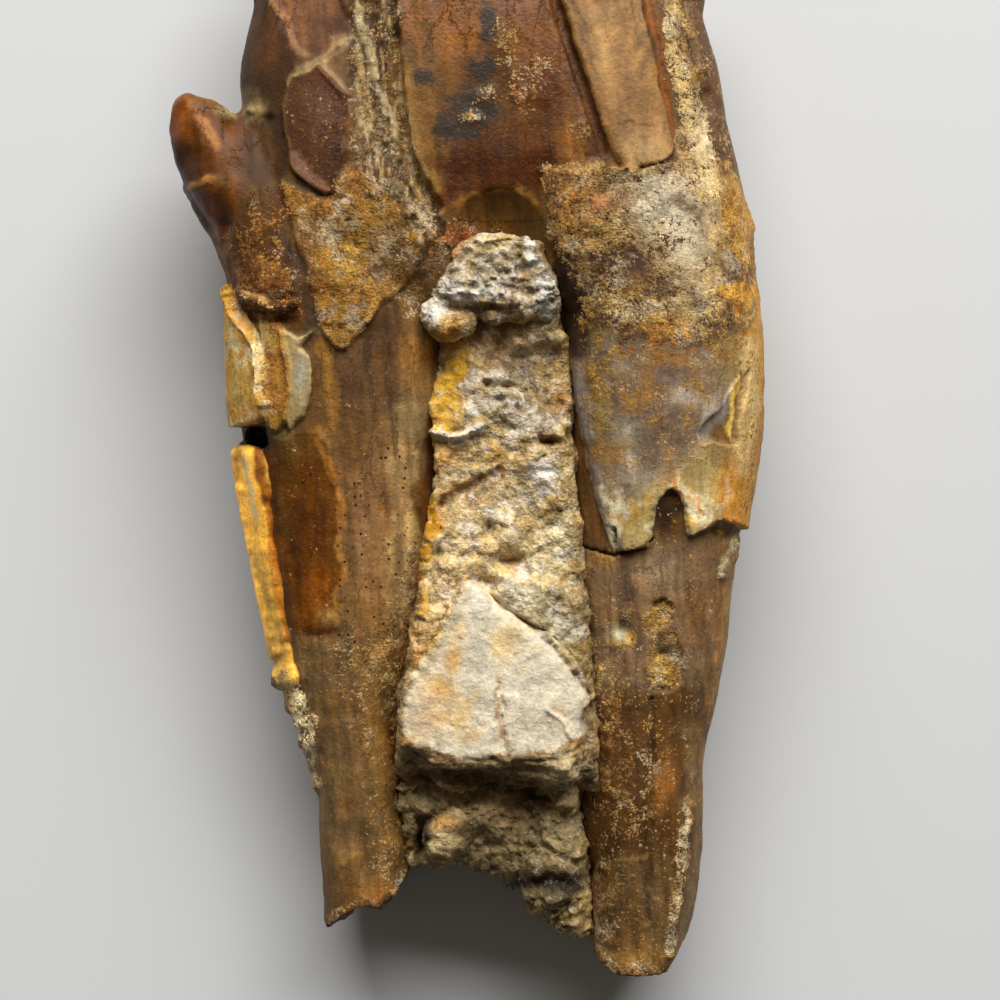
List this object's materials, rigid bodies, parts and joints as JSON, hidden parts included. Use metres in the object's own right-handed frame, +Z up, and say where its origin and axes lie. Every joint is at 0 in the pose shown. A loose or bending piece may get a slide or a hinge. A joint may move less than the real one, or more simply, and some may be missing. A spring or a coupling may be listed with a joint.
{
  "type": "fossil whale tooth",
  "caption": "Fossil cheek tooth of an early whale: a triangular crown with small side cusps on two roots, with pale rock filling the gap between the roots.",
  "frame": {"origin": "centre of the bounding box in X and Y, on the plane that the tooth lies on", "axes": "+Y from the root tips to the crown's point, +X across both roots towards the right root as seen from the front, +Z up out of the resting plane through the front face"},
  "size_m": [0.0474, 0.102, 0.018],
  "materials": {
    "fossil_enamel_and_root": "satin",
    "pale_rock": "matte"
  },
  "bodies": {
    "root": {"tooth": "fossil_enamel_and_root", "matrix": "pale_rock"}
  },
  "joints": []
}
